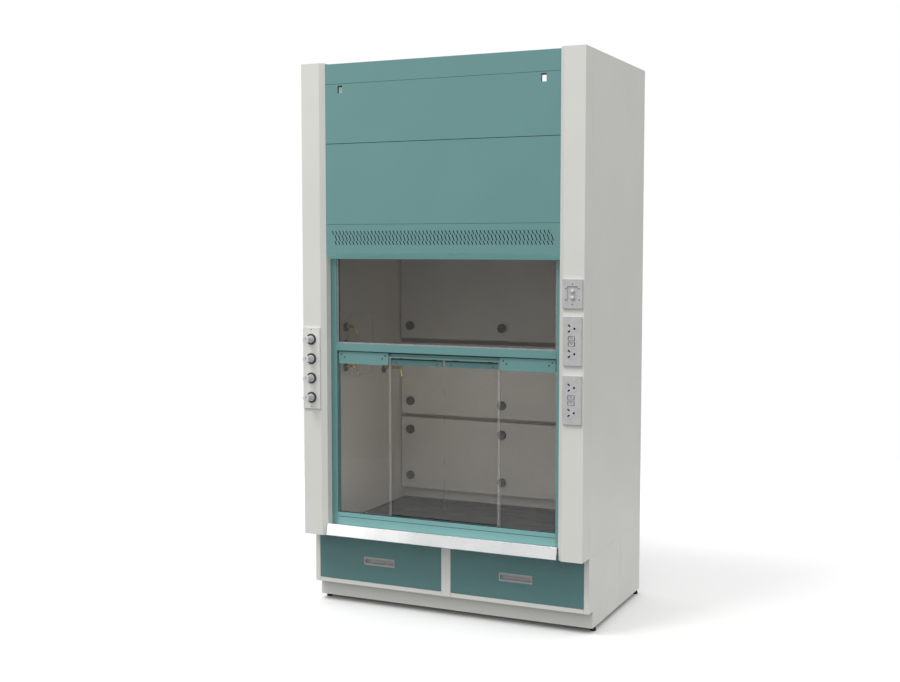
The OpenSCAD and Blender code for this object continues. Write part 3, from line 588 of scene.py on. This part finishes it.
def fitting_nuts():
    """Hexagon nuts at the roses on the chamber wall, and the barbs of the gas nozzles."""
    bm = bmesh.new()
    roses = [box for box in solids("escutcheons") if box[1].x > -0.5]
    for low, high in roses:
        water = low.y > -0.1
        spot = Vector((high.x, middle((low, high)).y, middle((low, high)).z + (0.008 if water else 0.004)))
        turned(bm, spot, RIGHT, [(0, 0), (0, 9.5), (5, 9.5), (6, 8.4), (6, 0)], 6)
        turned(bm, spot, RIGHT, [(6, 0), (6, 7.6), (8.5, 7.6), (9.2, 6.6), (9.2, 0)], 24)
        if water:
            tip = spot + Vector((0.078, 0, -0.038))
            turned(bm, tip, (0, 0, 1), [(0, 0), (0, 5.6), (0.6, 6), (8, 6), (8.6, 5.2), (8.6, 0)], 24)
        else:
            lean = Vector((math.sin(math.radians(145)), 0, math.cos(math.radians(145))))
            for along in (27, 33, 39):
                barb = [(along - 1, 0), (along - 1, 5.2 - along * 0.03), (along + 3, 3.6), (along + 3, 0)]
                turned(bm, spot + Vector((0.030, 0, 0)), lean, barb, 20)
    piece("fitting_nuts", bm, "root", "fitting_brass")


def access_cover_edge():
    """The raised edge of the rounded access cover on the chamber's left wall."""
    low, high = [box for box in solids("lining_panels") if box[1].x - box[0].x < 0.004][0]
    width = (high.y - low.y) * 1000
    height = (high.z - low.z) * 1000
    bm = bmesh.new()
    spot = middle((low, high))
    spot.x = high.x - 0.001
    across = (0, 1, 0)
    rim(bm, spot, across, UP, rounded(width + 2, height + 2, 36), rounded(width - 2, height - 2, 34), 1.8)
    board = laminate("cover_edge_board", (0.56, 0.525, 0.475))
    piece("access_cover_edge", bm, "root", "lining_laminate", board)


def grille_slot_shade():
    """Black sheets over the grille panel's three rows of slots, 0.4 mm wider each side and just proud, as
    painted shade in the slots.
    """
    count = 58
    low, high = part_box("header_panels")
    pitch = ((high.x - low.x) * 1000 - 76.8) / count * 1.02
    # Each row's start from the panel's left edge, top, slot height, and lean of the foot to the right, in mm
    rows = ((26.4, 1545, 14.5, 6), (38.4, 1529.5, 24, 9), (38.9, 1504.5, 14.5, 6))
    bm = bmesh.new()
    for start, top, tall, lean in rows:
        for i in range(count):
            spot = Vector((low.x + (start + i * pitch) / 1000, low.y + 0.0014, top / 1000))
            outline = [(-0.4, 0.2), (3.4, 0.2), (3.4 + lean, -tall - 0.2), (lean - 0.4, -tall - 0.2)]
            slab(bm, spot, RIGHT, UP, outline, 1.5)
    # Dead black sheets: painted shade in the grille's slots
    piece("grille_slot_shade", bm, "root", "black_paint", SLOT_PAINTED_SHADE)


def pane_edge_strips():
    """Pale translucent strips down the inner edges of the two front panes."""
    f = Finish("edge_strip")
    f.colour(f.blend(f.ramp(f.noise(0.02, 3, (1, 1, 6)), 0, 1), (0.80, 0.80, 0.79), (0.88, 0.88, 0.87)))
    f.join(f.ramp(f.noise(0.05, 3, (1, 1, 4)), 0.06, 0.09), f.shader.inputs["Alpha"])
    f.roughness(f.ramp(f.noise(0.01, 3), 0.45, 0.6))
    f.bump(f.noise(0.003, 2), 0.00003)
    for side, inner in (("left", 1), ("right", -1)):
        low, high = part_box("pane_front_" + side)
        x = (high.x if inner == 1 else low.x) - inner * 0.0045
        bm = bmesh.new()
        spot = Vector((x, low.y, (low.z + high.z) / 2))
        slab(bm, spot, RIGHT, UP, rounded(9, (high.z - low.z) * 1000, 0.5, 3), 0.1)
        name = "pane_front_%s_edge_strip" % side
        piece(name, bm, "front_%s_pane" % side, "white_plastic", f.material)


def bottom_rail_details():
    """A black brush seal along the foot of the front panes, which also paints the shade of the gap there, and
    a black line on the rail's front as painted shade in its groove.
    """
    low, high = min(solids("sash_rails"), key=lambda box: box[0].z)
    width = (high.x - low.x) * 1000 - 1
    brush = bmesh.new()
    spot = Vector((0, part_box("pane_front_left")[0].y - 0.0006, high.z + 0.0018))
    slab(brush, spot, RIGHT, UP, rounded(width, 3.6, 0.4, 2), 1.4)
    # The seal's black also paints the shade of the gap above the rail
    piece("sash_brush_seal_and_gap_shade", brush, "sash", "black_plastic")
    line = bmesh.new()
    slab(line, Vector((0, low.y + 0.0015, 0.377)), RIGHT, UP, rounded(width, 1.9, 0.2, 2), 0.6)
    # Painted shade: a black line in the rail's groove
    piece("sash_rail_groove_shade", line, "sash", "black_paint")


def exhaust_details():
    """A rolled bead round the exhaust collar, and rivets through its flange."""
    low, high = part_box("exhaust_collar")
    centre = Vector((middle((low, high)).x, middle((low, high)).y, low.z))
    radius = (high.x - low.x) * 500 - 20
    bm = bmesh.new()
    bead = [(49, radius - 1)]
    for degrees in range(-90, 91, 18):
        turn = math.radians(degrees)
        bead.append((52 + 3 * math.sin(turn), radius - 0.5 + 2.4 * math.cos(turn)))
    turned(bm, centre, UP, bead + [(55, radius - 1)], 72)
    for i in range(12):
        angle = math.tau * (i + 0.5) / 12
        spot = centre + Vector((math.cos(angle), math.sin(angle), 0)) * (radius + 10) / 1000
        turned(bm, spot, UP, [(1.5, 0), (1.5, 3.6), (2.3, 3.3), (2.9, 2.2), (3.1, 0)], 16)
    piece("collar_bead_and_rivets", bm, "root", "frame_paint")


def lamp_details():
    """Toggle latches and a cable gland on the lamp housing."""
    low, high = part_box("light_fitting")
    bm = bmesh.new()
    for x in (-0.24, 0.24):
        spot = Vector((x, low.y, high.z - 0.028))
        slab(bm, spot, RIGHT, UP, rounded(16, 34, 4), 2.2)
        slab(bm, spot + Vector((0, -0.0022, 0.004)), RIGHT, UP, rounded(10, 22, 3), 2.4)
    piece("lamp_latches", bm, "root", "shaft_steel")
    bm = bmesh.new()
    spot = Vector((high.x, (low.y + high.y) / 2, high.z - 0.03))
    turned(bm, spot, RIGHT, [(0, 0), (0, 11), (6, 11), (6, 9), (16, 9), (19, 6.5), (19, 0)], 6)
    piece("lamp_gland", bm, "root", "black_plastic")


FRONT = (0, -1, 0)
RIGHT = (1, 0, 0)
UP = (0, 0, 1)
SMOOTH_BELOW = 40  # degrees between faces
# Dead black for sheets laid over slots and holes as painted shade
SLOT_PAINTED_SHADE = painted_shade_black("slot_painted_shade")
plate_fixings()
hanger_fixings()
baffle_clamps()
outlets()
rocker_marks()
button_rings()
knob_marks()
fitting_nuts()
access_cover_edge()
grille_slot_shade()
pane_edge_strips()
bottom_rail_details()
exhaust_details()
lamp_details()

# Width in mm of the rounding on the edges of pressed, moulded and cast pieces
ROUNDING = {
    "post_left": 1.4, "post_right": 1.4, "header_access_panel": 0.8, "sash_stiles": 1.2, "sash_rails": 0.5,
    "airfoil_sill": 0.25, "service_plate": 1.0, "cabinet_carcass": 0.7, "plinth": 0.9, "worktop": 1.2,
    "drawer_front_left": 0.9, "drawer_front_right": 0.9, "drawer_pull_left": 0.5, "drawer_pull_right": 0.5,
    "baffles": 0.6, "lining_panels": 0.5, "light_fitting": 0.8, "counterweights": 2.5, "escutcheons": 0.7,
    "hanger_front_left": 0.4, "hanger_front_right": 0.4, "hanger_rear_left": 0.3, "hanger_rear_right": 0.3,
    "rocker_1": 0.4, "rocker_2": 0.4, "rocker_3": 0.4, "rocker_4": 0.4, "push_button_upper": 0.3,
    "push_button_lower": 0.3, "service_knob_1": 0.4, "service_knob_2": 0.4, "service_knob_3": 0.4,
    "service_knob_4": 0.4, "foot_front_left": 0.7, "foot_front_right": 0.7, "foot_rear_left": 0.7,
    "foot_rear_right": 0.7, "sash_track_rail": 0.4,
}
for node, width in ROUNDING.items():
    weld = nodes[node].modifiers.new("weld", "WELD")
    weld.merge_threshold = 0.00001
    flat = nodes[node].modifiers.new("flat", "DECIMATE")
    flat.decimate_type = "DISSOLVE"
    flat.angle_limit = math.radians(0.5)
    rounding = nodes[node].modifiers.new("rounding", "BEVEL")
    rounding.width = width / 1000
    rounding.segments = 2
    rounding.limit_method = "ANGLE"
    rounding.angle_limit = math.radians(35)
    rounding.harden_normals = True

# ---------------------------------------------------------------- studio


def area_light(name, place, aim, size, power):
    data = bpy.data.lights.new(name, "AREA")
    data.shape = "RECTANGLE"
    data.size, data.size_y = size
    data.energy = power
    lamp = bpy.data.objects.new(name, data)
    lamp.location = place
    lamp.rotation_euler = (Vector(aim) - Vector(place)).to_track_quat("-Z", "Y").to_euler()
    bpy.context.scene.collection.objects.link(lamp)


def floor():
    """A pale round floor that fades out at its rim."""
    mesh = bpy.data.meshes.new("floor")
    steps = 96
    turns = [math.tau * i / steps for i in range(steps)]
    circle = [(FLOOR_RADIUS * math.cos(turn), FLOOR_RADIUS * math.sin(turn), 0) for turn in turns]
    mesh.from_pydata(circle, [], [tuple(range(steps))])
    plate = bpy.data.objects.new("floor", mesh)
    f = Finish("floor_paint", Specular_IOR_Level=0.1)
    f.colour(f.blend(f.ramp(f.noise(1.5, 3), 0, 1), (0.90, 0.90, 0.90), (0.92, 0.92, 0.92)))
    f.roughness(f.ramp(f.noise(0.4, 3), 0.85, 0.95))
    distance = f.add("ShaderNodeVectorMath", operation="LENGTH")
    f.join(f.place.outputs["Object"], distance.inputs[0])
    f.join(f.ramp(distance.outputs["Value"], 1, 0, 1.6, 5.0), f.shader.inputs["Alpha"])
    mesh.materials.append(f.material)
    plate.visible_diffuse = False
    bpy.context.scene.collection.objects.link(plate)


def surroundings():
    """A white backdrop, and soft light that is strongest from above and a little stronger from the right."""
    world = bpy.data.worlds.new("studio")
    world.use_nodes = True
    tree = world.node_tree
    place = tree.nodes.new("ShaderNodeTexCoord")
    lean = tree.nodes.new("ShaderNodeVectorMath")
    lean.operation = "DOT_PRODUCT"
    lean.inputs[1].default_value = LIGHT_LEAN
    level = tree.nodes.new("ShaderNodeMath")
    level.operation = "ADD"
    level.inputs[1].default_value = LIGHT_LEVEL
    lowest = tree.nodes.new("ShaderNodeMath")
    lowest.operation = "MAXIMUM"
    lowest.inputs[1].default_value = LIGHT_LOWEST
    ray = tree.nodes.new("ShaderNodeLightPath")
    seen = tree.nodes.new("ShaderNodeMath")
    seen.operation = "MAXIMUM"
    tree.links.new(place.outputs["Generated"], lean.inputs[0])
    tree.links.new(lean.outputs["Value"], level.inputs[0])
    tree.links.new(level.outputs[0], lowest.inputs[0])
    tree.links.new(lowest.outputs[0], seen.inputs[0])
    tree.links.new(ray.outputs["Is Camera Ray"], seen.inputs[1])
    tree.links.new(seen.outputs[0], tree.nodes["Background"].inputs["Strength"])
    tree.nodes["Background"].inputs["Color"].default_value = (1, 1, 1, 1)
    bpy.context.scene.world = world


def camera():
    data = bpy.data.cameras.new("camera")
    data.sensor_width = 36
    data.lens = 50.17
    eye = bpy.data.objects.new("camera", data)
    eye.location = (2.0782, -4.7345, 1.4855)
    eye.rotation_euler = (math.pi / 2 - 0.0757, 0, 0.4322)
    bpy.context.scene.collection.objects.link(eye)
    bpy.context.scene.camera = eye


FLOOR_RADIUS = 5.2
LIGHT_LEVEL = 0.49
LIGHT_LEAN = (0.20, -0.15, 0.86)
LIGHT_LOWEST = 0.03
floor()
surroundings()
area_light("key", (-2.8, -4.6, 9.4), (0, -0.4, 1.2), (3.2, 3.2), 440)
area_light("sill_glint", (-3.5, -4.2, 2.0), (0, -0.35, 0.35), (2.0, 0.9), 11)
bpy.context.scene.view_settings.view_transform = "Standard"
camera()
